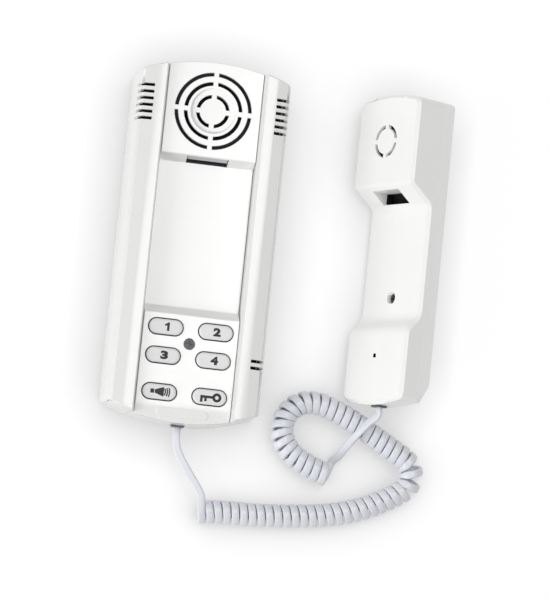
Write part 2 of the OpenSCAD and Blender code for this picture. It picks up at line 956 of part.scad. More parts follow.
rings = turns * 8;
first_dir = [sin(table_h[0][1]), -cos(table_h[0][1]), 0];
last_dir = [-sin(head[axis_n - 2]), cos(head[axis_n - 2]), 0];
lead_in = curl_at(0) - first_dir * cord_w;
lead_out = curl_at(turns * 360) + last_dir * cord_w;
curl_mid = concat([lead_in], [for (k = [0:rings]) curl_at(45 * k)], [lead_out]);
curl_out = concat([[0, 0, 1]], [for (k = [0:rings]) out_at(45 * k)], [[0, 0, -1]]);
curl_dir = [for (k = [0:rings + 2])
    k <= 1 ? first_dir : k >= rings + 1 ? last_dir : unit(curl_mid[k + 1] - curl_mid[k - 1])];

// flat cord section around "mid", "dir" along the cord, "out" across its thickness
function section(mid, dir, out, w, n) =
    let (side = unit(cross(dir, out)), up = cross(side, dir))
        [for (j = [0:n - 1])
            mid + side * (w / 2 * cos(j * 360 / n)) + up * (cord_t / 2 * sin(j * 360 / n))];
function skin(m, n) = concat(
    [for (k = [0:m - 2], j = [0:n - 1]) [k * n + j, k * n + (j + 1) % n, (k + 1) * n + j]],
    [for (k = [0:m - 2], j = [0:n - 1]) [k * n + (j + 1) % n, (k + 1) * n + (j + 1) % n, (k + 1) * n + j]],
    [for (j = [1:n - 2]) [0, j + 1, j]],
    [for (j = [1:n - 2]) [(m - 1) * n, (m - 1) * n + j, (m - 1) * n + j + 1]]);

curl_w = concat([cord_w], [for (k = [0:rings]) width_at(45 * k)], [cord_w]);
curl_rings = [for (k = [0:rings + 2]) section(curl_mid[k], curl_dir[k], curl_out[k], curl_w[k], 6)];
curl_clear = min([for (k = [1:rings - 10], q = [5:10], i = [0:5], j = [0:5])
    norm(curl_rings[k][i] - curl_rings[k + q][j])]);
cord_total = sum_len(curl_mid, 0, 0);
function sum_len(p, i, s) = i >= len(p) - 1 ? s : sum_len(p, i + 1, s + norm(p[i + 1] - p[i]));
echo(curls = turns, least_gap = curl_clear, coil_cord_length = cord_total);

module curly_cord() {
    color(pale)
        polyhedron([for (r = curl_rings) each r], skin(rings + 3, 6), convexity = 10);
}

// straight cord through points, with "out" giving the way its flat side faces
module lead(mid, out) {
    n = len(mid);
    dirs = [for (k = [0:n - 1]) unit(mid[min(k + 1, n - 1)] - mid[max(k - 1, 0)])];
    color(pale)
        polyhedron([for (k = [0:n - 1]) each section(mid[k], dirs[k], out[k], cord_w, 8)], skin(n, 8),
            convexity = 6);
}

base_exit = [0, -half_l - plug_out, jack_z];
base_route = concat([base_exit, base_exit - [0, cord_w, 0]],
    [[1.3, -126.5, 12.1], [4.2, -132.5, 12.4], [8, -138.2, 12.7], [12, -143.7, 13], [15.8, -149, 13.2]],
    [lead_in - first_dir * cord_w, lead_in]);

module cord_base_lead() {
    lead(base_route, [for (p = base_route) [0, 0, 1]]);
}

hs_exit = hs_pos + [-hs_jack_z * sin(60), -hs_half - plug_out, hs_jack_z * cos(60)];
hs_flat = [-sin(60), 0, cos(60)];
hs_route = concat([lead_out, lead_out + last_dir * cord_w],
    [[104.1, -119.2, 3.5], [107.7, -113.2, 9], [110.8, -108.1, 15.5], [114.5, -102.9, 20.5],
        [118.5, -98.1, 24]],
    [hs_exit - [0, cord_w, 0], hs_exit]);

module cord_handset_lead() {
    n = len(hs_route);
    lead(hs_route, [for (k = [0:n - 1])
        let (t = min(1, max(0, (k - 2) / (n - 4)))) [0, 0, 1] * (1 - t) + hs_flat * t]);
}

base_case();
base_fascia();
rear_plate();
case_screws();
front_screw();
speaker_gasket();
speaker_frame();
speaker_cone();
speaker_magnet();
speaker_screws();
main_board();
board_screws();
terminal_block();
terminal_screws();
capacitors();
logic_chips();
door_relay();
key_switches();
hook_pin();
hook_switch();
hook_lever();
key_1();
key_2();
key_3();
key_4();
key_call();
key_door();
base_jack();
base_plug();
base_plug_contacts();
handset_front_shell();
handset_rear_shell();
handset_screw();
hook_pocket();
receiver_ring();
receiver_capsule();
mic_boot();
mic_capsule();
ballast_weight();
handset_jack();
handset_plug();
handset_plug_contacts();
cord_base_lead();
curly_cord();
cord_handset_lead();
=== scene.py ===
import math
import bmesh
import bpy
import numpy as np
from mathutils import Matrix, Vector


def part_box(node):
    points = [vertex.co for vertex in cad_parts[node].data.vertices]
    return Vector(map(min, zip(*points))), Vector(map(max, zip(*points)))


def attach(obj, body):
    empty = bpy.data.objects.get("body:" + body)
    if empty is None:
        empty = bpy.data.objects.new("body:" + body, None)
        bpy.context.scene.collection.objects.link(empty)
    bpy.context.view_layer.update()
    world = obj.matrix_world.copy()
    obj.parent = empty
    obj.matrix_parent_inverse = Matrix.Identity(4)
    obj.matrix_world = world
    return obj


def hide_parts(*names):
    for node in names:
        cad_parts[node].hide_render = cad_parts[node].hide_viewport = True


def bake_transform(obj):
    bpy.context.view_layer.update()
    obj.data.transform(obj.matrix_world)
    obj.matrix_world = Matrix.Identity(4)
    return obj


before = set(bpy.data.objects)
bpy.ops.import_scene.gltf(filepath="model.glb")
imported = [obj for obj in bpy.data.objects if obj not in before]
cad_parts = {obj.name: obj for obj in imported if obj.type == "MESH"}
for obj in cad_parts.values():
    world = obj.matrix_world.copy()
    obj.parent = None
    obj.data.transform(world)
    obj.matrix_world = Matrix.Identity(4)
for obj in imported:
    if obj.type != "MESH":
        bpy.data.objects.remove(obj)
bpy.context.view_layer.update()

# Camera. The station is seen from above, a little from its left and from its
# lower end, and turned in the picture. The picture is 550 x 600 pixels.
picture_w = 550
picture_h = 600
tilt_x, tilt_y, roll = (math.radians(a) for a in (8.0, 7.6, 5.7))
metres_per_pixel = 0.000618
distance = 2.6
aim = Vector((0, 0, 0.032))
aim_pixel = (199.87, 241.95)
towards = Vector((-math.tan(tilt_x), -math.tan(tilt_y), 1)).normalized()
level_up = (Vector((0, 1, 0)) - towards * towards.y).normalized()
level_right = level_up.cross(towards)
cam_right = level_right * math.cos(roll) + level_up * math.sin(roll)
cam_up = level_up * math.cos(roll) - level_right * math.sin(roll)
eye = (aim + towards * distance
       - cam_right * (aim_pixel[0] - picture_w / 2) * metres_per_pixel
       + cam_up * (aim_pixel[1] - picture_h / 2) * metres_per_pixel)
camera_data = bpy.data.cameras.new("camera")
camera_data.sensor_fit = "HORIZONTAL"
camera_data.sensor_width = 36
camera_data.sensor_height = 36 * picture_h / picture_w
# the long side of the picture is its height, so the lens is set for the width
camera_data.lens = 36 * (distance / metres_per_pixel) / picture_w
camera_data.clip_end = 20
camera = bpy.data.objects.new("camera", camera_data)
camera.matrix_world = Matrix((cam_right, cam_up, towards)).transposed().to_4x4()
camera.matrix_world.translation = eye
bpy.context.scene.collection.objects.link(camera)
bpy.context.scene.camera = camera

# Curly cord. A flat four-core handset cord in soft PVC, wound hot on a rod so
# that it keeps its curls; both ends run straight into a moulded plug.
cord_w = 0.0048
cord_t = 0.0028
curl_d = 0.0146
curl_pitch = 0.00535
curl_gap = 0.0001
# the share of its width that the cord keeps on the inside of a bend
nip = 0.62
# the most that a bend may take of the room on a curl's inside
tightest = 0.62
# how far the curls lie above the table
lift = 0.0001
# the points that the curls' axis and the two leads pass through, in mm
curl_route = [(20, -164), (34, -162.7), (54, -162.3), (77, -160.5), (100, -157.3), (119, -151.8),
              (133.5, -144.9), (144, -138.3), (148.6, -133.7), (150.3, -127.5), (148.6, -121.3), (144, -116.7),
              (134, -110.9), (122.5, -104.3), (110.5, -97.8), (98.5, -92.3), (87, -88.8), (76.5, -90),
              (69, -96.5), (66.2, -105.5), (68.3, -114.7), (75.2, -122.7), (85.5, -128.3), (97, -132.5)]
base_route = [(1.3, -126.5, 12.1), (4.2, -132.5, 12.4), (8, -138.2, 12.7), (12, -143.7, 13),
              (15.8, -149, 13.2)]
handset_route = [(104.1, -119.2, 3.5), (107.7, -113.2, 9), (110.8, -108.1, 15.5), (114.5, -102.9, 20.5),
                 (118.5, -98.1, 24)]
# the handset lies on its side, leaning by this angle, and its socket stands in
# front of the line where its two shells meet
lean = math.radians(60)
handset_x = 0.1275
handset_z = 0.0285 * math.sin(lean)
socket_rise = 0.006
base_exit = np.array((0, -0.1142, 0.012))
handset_exit = np.array((handset_x - socket_rise * math.sin(lean), -0.0892,
                         handset_z + socket_rise * math.cos(lean)))


def through(points, steps):
    """A smooth curve through the points, with that many steps to each span."""
    p = np.array(points, float)
    p = np.vstack((2 * p[0] - p[1], p, 2 * p[-1] - p[-2]))
    t = (np.arange(steps) / steps)[:, None]
    spans = [0.5 * (2 * b + (c - a) * t + (2 * a - 5 * b + 4 * c - d) * t ** 2
                    + (3 * b - a - 3 * c + d) * t ** 3)
             for a, b, c, d in zip(p, p[1:], p[2:], p[3:])]
    return np.vstack(spans + [p[-2:-1]])


axis_steps = 14
lead_steps = 6
curl_axis = through(np.array(curl_route) / 1000, axis_steps)
axis_step = np.diff(curl_axis, axis=0)
heading = np.unwrap(np.arctan2(axis_step[:, 1], axis_step[:, 0]))
count = len(heading)
# the bend is read over this many steps to each side
reach = 10
behind = np.maximum(np.arange(count) - reach, 0)
ahead = np.minimum(np.arange(count) + reach, count - 1)
bend = ((heading[ahead] - heading[behind])
        / (np.linalg.norm(curl_axis[ahead] - curl_axis[behind], axis=1) + 1e-5))
# the curls open on the outside of a bend, and the cord is nipped on its inside
pitch = np.maximum(curl_pitch, (cord_w * nip + curl_gap) / (1 - np.minimum(tightest, curl_d / 2 * abs(bend))))
wound = np.concatenate(([0], np.cumsum(np.linalg.norm(axis_step, axis=1) / pitch)))
curls = math.floor(wound[-1]) + 0.5
wound *= curls * 2 * math.pi / wound[-1]
curl_steps = 28
angle = np.linspace(0, curls * 2 * math.pi, int(curls * curl_steps) + 1)
facing = np.interp(angle, wound[:-1], heading)
curl_out = np.stack((-np.sin(facing) * np.cos(angle + math.pi / 2),
                     np.cos(facing) * np.cos(angle + math.pi / 2), np.sin(angle + math.pi / 2)), 1)
inward = np.interp(angle, wound[:-1], bend) * curl_d / 2 * np.cos(angle + math.pi / 2)
curl_w = np.minimum(cord_w, np.interp(angle, wound[:-1], pitch) * (1 - inward) - curl_gap)
curl_mid = np.stack((np.interp(angle, wound, curl_axis[:, 0]), np.interp(angle, wound, curl_axis[:, 1]),
                     np.full(len(angle), curl_d / 2 + lift)), 1) + curl_out * (curl_d - cord_t) / 2
first_way = np.array((math.sin(heading[0]), -math.cos(heading[0]), 0))
last_way = np.array((-math.sin(heading[-1]), math.cos(heading[-1]), 0))
base_lead = through([base_exit, base_exit - (0, cord_w, 0)] + [np.array(p) / 1000 for p in base_route]
                    + [curl_mid[0] - first_way * cord_w * 2, curl_mid[0] - first_way * cord_w], lead_steps)
handset_lead = through([curl_mid[-1] + last_way * cord_w, curl_mid[-1] + last_way * cord_w * 2]
                       + [np.array(p) / 1000 for p in handset_route]
                       + [handset_exit - (0, cord_w, 0), handset_exit], lead_steps)
# the flat lead turns from lying on the table to the lean of the handset
held = 2 * lead_steps
turned = np.clip((np.arange(len(handset_lead)) - held) / (len(handset_lead) - 2 * held), 0, 1)[:, None]
handset_flat = np.array((math.sin(lean), 0, -math.cos(lean)))
cord_path = np.vstack((base_lead, curl_mid, handset_lead))
cord_out = np.vstack((np.tile((0, 0, 1.0), (len(base_lead), 1)), curl_out,
                      np.array((0, 0, -1.0)) * (1 - turned) + handset_flat * turned))
cord_way = np.gradient(cord_path, axis=0)
cord_way /= np.linalg.norm(cord_way, axis=1)[:, None]
cord_side = np.cross(cord_way, cord_out)
cord_side /= np.linalg.norm(cord_side, axis=1)[:, None]
cord_up = np.cross(cord_side, cord_way)
widths = np.concatenate((np.full(len(base_lead), cord_w), curl_w, np.full(len(handset_lead), cord_w)))
ring_points = 16
ring = (np.arange(ring_points) + 0.5) * 2 * math.pi / ring_points
# a flat cord: broad, nearly flat faces and rounded edges
ring_w = 0.5 * np.sign(np.cos(ring)) * abs(np.cos(ring)) ** 0.5
ring_t = cord_t / 2 * np.sign(np.sin(ring)) * abs(np.sin(ring)) ** 0.6
bm = bmesh.new()
rings = []
for mid, side, up, width in zip(cord_path, cord_side, cord_up, widths):
    rings.append([bm.verts.new(mid + side * w * width + up * t) for w, t in zip(ring_w, ring_t)])
for one, two in zip(rings, rings[1:]):
    for k in range(ring_points):
        bm.faces.new((one[k - 1], one[k], two[k], two[k - 1]))
bm.faces.new(reversed(rings[0]))
bm.faces.new(rings[-1])
bmesh.ops.recalc_face_normals(bm, faces=bm.faces)


def piece(name, bm, smooth=30):
    """Turns a bmesh into an object; edges sharper than the angle stay crisp."""
    mesh = bpy.data.meshes.new(name)
    bm.to_mesh(mesh)
    bm.free()
    mesh.shade_smooth()
    mesh.set_sharp_from_angle(angle=math.radians(smooth))
    made = bpy.data.objects.new(name, mesh)
    bpy.context.scene.collection.objects.link(made)
    return made


def linear(hex_colour):
    """An sRGB hex colour as the linear values that a shader takes."""
    parts = [int(hex_colour[i:i + 2], 16) / 255 for i in (1, 3, 5)]
    return [c / 12.92 if c <= 0.04045 else ((c + 0.055) / 1.055) ** 2.4 for c in parts] + [1]


def add(tree, kind, links=(), **settings):
    """One node with its settings and the links into it."""
    node = tree.nodes.new(kind)
    for key, value in settings.items():
        if hasattr(node, key):
            setattr(node, key, value)
        else:
            node.inputs[key.replace("_", " ")].default_value = value
    for key, source in links:
        tree.links.new(source, node.inputs[key])
    return node


def moulded(name, colour, shade, rough, grain_mm, depth_mm, patch_mm=18, ior=1.5):
    """A moulded plastic: a fine grain from the tool's surface in the bump and the
    gloss, and broad soft patches of a slightly darker shade."""
    material = bpy.data.materials.new(name)
    material.use_nodes = True
    tree = material.node_tree
    shader = tree.nodes["Principled BSDF"]
    where = add(tree, "ShaderNodeTexCoord").outputs["Object"]
    patch = add(tree, "ShaderNodeTexNoise", [("Vector", where)], Scale=1000 / patch_mm, Detail=3.0)
    tint = add(tree, "ShaderNodeMix", [("Factor", patch.outputs["Fac"])], data_type="RGBA")
    tint.inputs["A"].default_value = linear(colour)
    tint.inputs["B"].default_value = linear(shade)
    tree.links.new(tint.outputs["Result"], shader.inputs["Base Color"])
    grain = add(tree, "ShaderNodeTexNoise", [("Vector", where)], Scale=1000 / grain_mm, Detail=2.0)
    gloss = add(tree, "ShaderNodeMapRange", [("Value", grain.outputs["Fac"])])
    gloss.inputs["To Min"].default_value = rough - 0.06
    gloss.inputs["To Max"].default_value = rough + 0.06
    tree.links.new(gloss.outputs["Result"], shader.inputs["Roughness"])
    bump = add(tree, "ShaderNodeBump", [("Height", grain.outputs["Fac"])], Strength=1.0,
               Distance=depth_mm / 1000)
    tree.links.new(bump.outputs["Normal"], shader.inputs["Normal"])
    shader.inputs["IOR"].default_value = ior
    return material


# soft PVC: a dull sheen, and a slight bluish grey beside the white shells
cord_pvc = moulded("soft_pvc", "#E6E8EE", "#DCDEE5", 0.34, 1.5, 0.02, 25)
cord = piece("curly_handset_cord", bm, 60)
cord.data.materials.append(cord_pvc)
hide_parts("cord_base_lead", "curly_cord", "cord_handset_lead")
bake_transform(cord)

# Modular plugs. Small moulded plugs on both ends of the cord, with four
# gold-plated blades pressed into slots under the nose.
def finish(material, *names):
    """Gives the CAD pieces of these names one material."""
    for name in names:
        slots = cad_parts[name].data.materials
        slots.clear()
        slots.append(material)


# unfilled polycarbonate with a bright gloss; its dark grey is painted shade, for the shadow that the plugs lie
# in
finish(moulded("plug_polycarbonate_painted_shade", "#6E7074", "#5E6064", 0.2, 2.0, 0.004, 4, ior=1.58),
       "base_plug", "handset_plug")


def metal(name, colour, shade, rough, mark_mm, depth_mm):
    """A bare metal: fine marks of the tool in the gloss and the bump, and a
    tone that drifts a little from place to place."""
    material = moulded(name, colour, shade, rough, mark_mm, depth_mm, 6)
    material.node_tree.nodes["Principled BSDF"].inputs["Metallic"].default_value = 1.0
    return material


# thin gold over brass, bright and warm
finish(metal("gold_plated_brass", "#D9B45C", "#C79C45", 0.24, 0.3, 0.002),
       "base_plug_contacts", "handset_plug_contacts")

# Wall plate. The back of the station, moulded in ABS with its posts, a round cable
# entry and four wall holes, and dark with painted shade; four screws hold the case on it.
# ABS with a dull skin, dark as painted shade, so that little light comes back out of the vents
finish(moulded("plate_abs_painted_shade", "#2C2C2E", "#262628", 0.5, 0.7, 0.02), "rear_plate")
# zinc on steel: a cool grey, slightly cloudy gloss
zinc_steel = metal("zinc_plated_steel", "#A7A9AC", "#909296", 0.36, 0.25, 0.004)
finish(zinc_steel, "case_screws", "board_screws", "speaker_screws", "hook_pin")

# Circuit board. Glass-fibre board with a green resist over copper tracks; the
# line terminal, relay, chips, capacitors and switch housings stand on it.
# solder resist: a smooth, glassy green lacquer
board_resist = moulded("green_solder_resist", "#1F5B36", "#184A2B", 0.32, 1.2, 0.01, 9)
tree = board_resist.node_tree
shader = tree.nodes["Principled BSDF"]
where = add(tree, "ShaderNodeTexCoord").outputs["Object"]
# copper tracks about 1 mm wide, seen as lighter green lines under the resist
track = add(tree, "ShaderNodeTexBrick", [("Vector", where)], Scale=1000 / 8, Mortar_Size=0.06,
            Color1=(0, 0, 0, 1), Color2=(0, 0, 0, 1), Mortar=(1, 1, 1, 1))
resist_tone = shader.inputs["Base Color"].links[0].from_socket
lit = add(tree, "ShaderNodeMix", [("Factor", track.outputs["Color"]), ("A", resist_tone)], data_type="RGBA")
lit.inputs["B"].default_value = linear("#3B8052")
tree.links.new(lit.outputs["Result"], shader.inputs["Base Color"])
finish(board_resist, "main_board")
# polyamide: a cool green with a satin skin
finish(moulded("green_polyamide", "#2F6F5E", "#286252", 0.45, 0.5, 0.02, 5), "terminal_block")
finish(zinc_steel, "terminal_screws")
# a shrunk PVC sleeve, dark blue and fairly glossy, and a brighter relay case
finish(moulded("capacitor_sleeve", "#23284A", "#1C2040", 0.3, 1.0, 0.01, 5), "capacitors")
finish(moulded("blue_relay_case", "#2F4E8C", "#27437B", 0.35, 0.6, 0.015, 6), "door_relay")
# glass-filled black mouldings, dull and even; the same black is laid on as painted shade on the key skirts and
# in the hook pocket
black_moulding_and_shade = moulded("black_moulding_and_shade", "#1B1B1D", "#141416", 0.48, 0.4, 0.02, 5)
finish(black_moulding_and_shade, "logic_chips", "key_switches", "hook_switch", "base_jack", "handset_jack",
       "receiver_capsule", "mic_capsule")

# Loudspeaker. A pressed steel basket with a doped paper cone, a ferrite magnet
# behind it, and a foam ring against the grille; four screws hold it.
# open foam: coarse cells and no gloss
finish(moulded("black_foam", "#17171A", "#0E0E10", 0.95, 0.6, 0.25, 2), "speaker_gasket", "receiver_ring")
# pressed steel under a thin black finish, satin
finish(metal("black_pressed_steel", "#2A2A2C", "#202022", 0.5, 0.8, 0.006), "speaker_frame")
# doped paper: matt and fibrous
finish(moulded("doped_paper", "#1A1918", "#111010", 0.8, 0.5, 0.06, 3), "speaker_cone")
# sintered ferrite: a dense, dull grey
finish(moulded("ferrite", "#3A3A3C", "#303032", 0.62, 0.35, 0.02, 4), "speaker_magnet", "ballast_weight")
# moulded rubber: a soft matt black
finish(moulded("black_rubber", "#161617", "#101011", 0.75, 0.5, 0.03, 4), "mic_boot")

# Hook. A grey moulded lever that turns on a steel pin and looks out of the
# slot above the finger recess; the hung handset pushes it in.
# pale grey ABS with a satin skin
finish(moulded("grey_abs", "#CDCDCF", "#C2C2C5", 0.42, 0.5, 0.02, 6), "hook_lever")

# Keys. Six grey moulded caps with a rounded rim on a black skirt, which is painted shade for the gap
# round each key; the flange keeps each one behind the fascia, and the stem stands in its switch.
key_x = 0.0156
key_rows = (-0.0549, -0.0726, -0.0953)
# half the straight run, the end radius and the height of each ring, in mm
key_rings = ((5.75, 2.8, 33.7), (5.75, 3.6, 33.66), (5.75, 4.1, 33.5), (5.75, 4.5, 33.15),
             (5.75, 4.7, 32.6), (5.75, 4.7, 31.8), (5.75, 4.7, 29.4), (5.75, 6, 29.4),
             (5.75, 6, 27.9), (0, 2, 27.9), (0, 2, 17.5))
key_segments = 40
# the cap is grey above this height, and its skirt is black below it: painted shade for the gap round the key
shadow_skirt_top = 0.0318
# fine spark-eroded texture, drawn 0.5 mm coarse so that it shows
key_abs = moulded("grey_key_abs", "#ECECEC", "#E3E3E4", 0.5, 0.5, 0.05, 2.5)


def stack(bm, rings, segments, place=Matrix()):
    """A closed solid with long round-ended outlines, from its top ring down."""
    bmesh.ops.create_circle(bm, cap_ends=True, segments=segments, radius=1,
                            matrix=Matrix.Rotation(math.pi / segments, 4, "Z"))
    level = list(bm.verts)
    ways = [v.co.copy() for v in level]
    edges = list(bm.edges)
    for step, (run, radius, z) in enumerate(rings):
        if step:
            grown = bmesh.ops.extrude_edge_only(bm, edges=edges)["geom"]
            edges = [e for e in grown if isinstance(e, bmesh.types.BMEdge)]
            level = [v for v in grown if isinstance(v, bmesh.types.BMVert)]
        for v, way in zip(level, ways):
            v.co = place @ (Vector((math.copysign(run, way.x) + way.x * radius, way.y * radius, z)) / 1000)
    bmesh.ops.contextual_create(bm, geom=edges)
    bmesh.ops.recalc_face_normals(bm, faces=bm.faces)


# pad-printed ink, a dense matt black
key_ink = moulded("black_key_ink", "#1C1C1E", "#252527", 0.55, 0.3, 0.004, 1.5)
ink_top = 0.03376
ink_mm = 0.1
# the print stands a little to the right of the key's middle
print_shift = 0.0006


def legend(key, bm):
    """Lays a flat printed shape on top of its key, with the thickness of the ink."""
    faces = bmesh.ops.extrude_face_region(bm, geom=list(bm.faces))["geom"]
    raised = [v for v in faces if isinstance(v, bmesh.types.BMVert)]
    bmesh.ops.translate(bm, verts=raised, vec=(0, 0, ink_mm))
    bmesh.ops.recalc_face_normals(bm, faces=bm.faces)
    low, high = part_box(key)
    place = Matrix.Translation(((low[0] + high[0]) / 2 + print_shift, (low[1] + high[1]) / 2,
                                ink_top - ink_mm / 1000))
    bmesh.ops.transform(bm, verts=bm.verts, matrix=place @ Matrix.Scale(0.001, 4))
    mark = piece(key + "_legend", bm)
    mark.data.materials.append(key_ink)
    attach(mark, key)


digit_w = 4.7
digit_h = 5.3
# the figure one is listed as points: a heavy stem with a flag
figure_one = ((0, -2.65), (1.5, -2.65), (1.5, 2.65), (0.4, 2.65), (-0.2, 2), (-1.4, 1.45), (-1.4, 0.3),
              (0, 0.75))
for name, column, row in (("key_1", -1, 0), ("key_2", 1, 0), ("key_3", -1, 1), ("key_4", 1, 1),
                          ("key_call", -1, 2), ("key_door", 1, 2)):
    bm = bmesh.new()
    stack(bm, key_rings, key_segments, Matrix.Translation((column * key_x, key_rows[row], 0)))
    cap = piece(name + "_cap", bm, 40)
    cap.data.materials.append(key_abs)
    cap.data.materials.append(black_moulding_and_shade)
    # the skirt's faces take the black: painted shade
    for face in cap.data.polygons:
        face.material_index = face.center.z < shadow_skirt_top
    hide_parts(name)
    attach(cap, name)
    if name == "key_1":
        bm = bmesh.new()
        bm.faces.new([bm.verts.new((x, y, 0)) for x, y in figure_one])
        legend(name, bm)
    elif row < 2:
        # a heavy upright digit, stretched to its printed size
        text = bpy.data.curves.new(name + "_digit", "FONT")
        text.body = name[-1]
        text.size = 8
        text.offset = 0.5
        text.resolution_u = 5
        holder = bpy.data.objects.new(name + "_digit", text)
        outline = bpy.data.meshes.new_from_object(holder)
        bpy.data.objects.remove(holder)
        bm = bmesh.new()
        bm.from_mesh(outline)
        bpy.data.meshes.remove(outline)
        bmesh.ops.remove_doubles(bm, verts=bm.verts, dist=0.001)
        xs, ys = ([v.co[k] for v in bm.verts] for k in (0, 1))
        for v in bm.verts:
            v.co = ((v.co.x - (min(xs) + max(xs)) / 2) * digit_w / (max(xs) - min(xs)),
                    (v.co.y - (min(ys) + max(ys)) / 2) * digit_h / (max(ys) - min(ys)), 0)
        legend(name, bm)

# the call key's horn: a mouthpiece, a bell and three sound waves
bm = bmesh.new()
for outline in (((-6.3, -1.3), (-4, -1.3), (-4, 1.3), (-6.3, 1.3)),
                ((-3.6, -1), (-2.8, -1.3), (1.3, -2.8), (2.1, -2.8), (2.1, 2.8), (1.3, 2.8), (-2.8, 1.3),
                 (-3.6, 1))):
    bm.faces.new([bm.verts.new((x, y, 0)) for x, y in outline])
for radius, spread in ((4.4, 27), (5.7, 26), (7, 23)):
    ends = [bm.verts.new((r * math.cos(math.radians(spread)) - 1.4, -r * math.sin(math.radians(spread)), 0))
            for r in (radius - 0.42, radius + 0.42)]
    bmesh.ops.spin(bm, geom=[bm.edges.new(ends)], cent=(-1.4, 0, 0), axis=(0, 0, 1),
                   angle=math.radians(2 * spread), steps=10, use_merge=False)
legend("key_call", bm)

# the door key's key: a ring, a shank and two teeth
bm = bmesh.new()
ends = [bm.verts.new((r + 3.9, 0, 0)) for r in (1.15, 2.85)]
bmesh.ops.spin(bm, geom=[bm.edges.new(ends)], cent=(3.9, 0, 0), axis=(0, 0, 1), angle=2 * math.pi, steps=32,
               use_merge=True)
for outline in (((-6.4, -0.8), (1.5, -0.8), (1.5, 0.8), (-6.4, 0.8)),
                ((-6.4, -3.4), (-4.8, -3.4), (-4.8, -0.8), (-6.4, -0.8)),
                ((-3.8, -2.8), (-2.3, -2.8), (-2.3, -0.8), (-3.8, -0.8))):
    bm.faces.new([bm.verts.new((x, y, 0)) for x, y in outline])
legend("key_door", bm)

# Fascia. The white ABS panel between the flanks: it carries the grille, the
# finger recess, the key openings and a screw pocket, and one screw holds it.
def merged_copy(name):
    """The CAD piece's triangles joined into one skin with large flat faces."""
    bm = bmesh.new()
    bm.from_mesh(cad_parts[name].data)
    bmesh.ops.remove_doubles(bm, verts=bm.verts, dist=1e-6)
    bmesh.ops.dissolve_limit(bm, angle_limit=math.radians(0.4), verts=bm.verts, edges=bm.edges)
    return bm


def rounded(bm, width, segments, chosen, place=Matrix()):
    """Rounds the edges that the test picks. It gets each edge's middle in mm and
    its way, in the piece's own frame, and its faces' normals, the lower one first."""
    turn = place.to_3x3()
    edges = []
    for edge in bm.edges:
        if len(edge.link_faces) == 2:
            one, two = (place @ v.co for v in edge.verts)
            normals = sorted((turn @ f.normal for f in edge.link_faces), key=lambda n: n.z)
            if chosen((one + two) * 500, (two - one).normalized(), *normals):
                edges.append(edge)
    bmesh.ops.bevel(bm, geom=edges, offset=width / 1000, offset_type="OFFSET", segments=segments, profile=0.5,
                    affect="EDGES", clamp_overlap=False, material=-1)


def moulding(name, bm, smooth=35):
    """A shell with evenly lit flat faces beside its rounded edges."""
    made = piece(name, bm, smooth)
    made.modifiers.new("even_faces", "WEIGHTED_NORMAL").keep_sharp = True
    return made


# glossy moulded ABS, white with a breath of warmth; the tool's polish is drawn
# as a faint 0.9 mm ripple so that it shows
white_abs = moulded("white_abs", "#F1F1F0", "#EEEEED", 0.2, 0.9, 0.004)
bm = merged_copy("base_fascia")
# the wall of the dish in the grille slopes down to its tilted floor: its foot
# moves in along the floor by a share of the depth there
dish_mid = Vector((0, 0.0824))
dish_r = 0.0143
dish_d = 0.0028
dish_slope = 0.7
panel_z = 0.032
slack = 2e-5
for v in bm.verts:
    depth = panel_z - v.co.z
    if abs((v.co.xy - dish_mid).length - dish_r) < slack and slack / 2 < depth < dish_d + slack / 2:
        share = 1 - dish_slope * depth / dish_r
        v.co.xy = dish_mid + (v.co.xy - dish_mid) * share
        v.co.z = panel_z - dish_d / 2 + share * (dish_d / 2 - depth)
bm.normal_update()
# the dish's edges are marked here, and made crisp once the mesh is there
for edge in bm.edges:
    edge.seam = (all((v.co.xy - dish_mid).length < dish_r + slack for v in edge.verts)
                 and edge.calc_face_angle(0) > math.radians(35))
# the outer rim first, then the two upper edges of the recess, then the openings
rounded(bm, 0.4, 3, lambda at, way, low, high: (abs(at.x) > 29.6 or abs(at.y) > 108) and high.z > 0.3
        and abs(low.z) < 0.05 and at.z > 23.9)
rounded(bm, 0.6, 4, lambda at, way, low, high: abs(way.x) > 0.99 and at.z > 31.9 and (abs(at.y - 53.3) < 0.3
        or abs(at.y + 46.2) < 0.3))
rounded(bm, 0.25, 2, lambda at, way, low, high: abs(at.x) < 29 and abs(at.y) < 108 and high.z > 0.99
        and abs(low.z) < 0.05 and at.z > 31.9)
fascia = moulding("fascia_panel", bm)
for edge in fascia.data.edges:
    if edge.use_seam:
        edge.use_edge_sharp = True
fascia.data.materials.append(white_abs)
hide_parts("base_fascia")
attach(fascia, "station")

# Badge. A bare raised pad on the sloping band under the keys, moulded with the
# fascia where a plate could sit.
band_slope = Matrix.Translation((0, -0.1072, 0.0311)) @ Matrix.Rotation(math.atan(2.88 / 11.6), 4, "X")
bm = bmesh.new()
pad_rings = ((13.5, 1.9, 0.3), (13.5, 2.5, 0.28), (13.5, 2.75, 0.15), (13.5, 2.85, 0), (13.5, 2.85, -0.5))
stack(bm, pad_rings, 32, band_slope)
badge = moulding("badge_pad", bm)
badge.data.materials.append(white_abs)
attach(badge, "station")

# Fascia screw. A blackened pan-head screw deep in its pocket between the keys,
# driven into a post of the wall plate.
# blackened steel: a dark grey, with the tool's marks in its gloss
blackened_steel = metal("blackened_steel", "#626265", "#48484B", 0.45, 0.25, 0.004)
finish(blackened_steel, "front_screw", "handset_screw")

# Case. The white ABS body of the station: two raised flanks with vents, and
# curved ends; four screws from behind hold it to the wall plate.
bm = merged_copy("base_case")
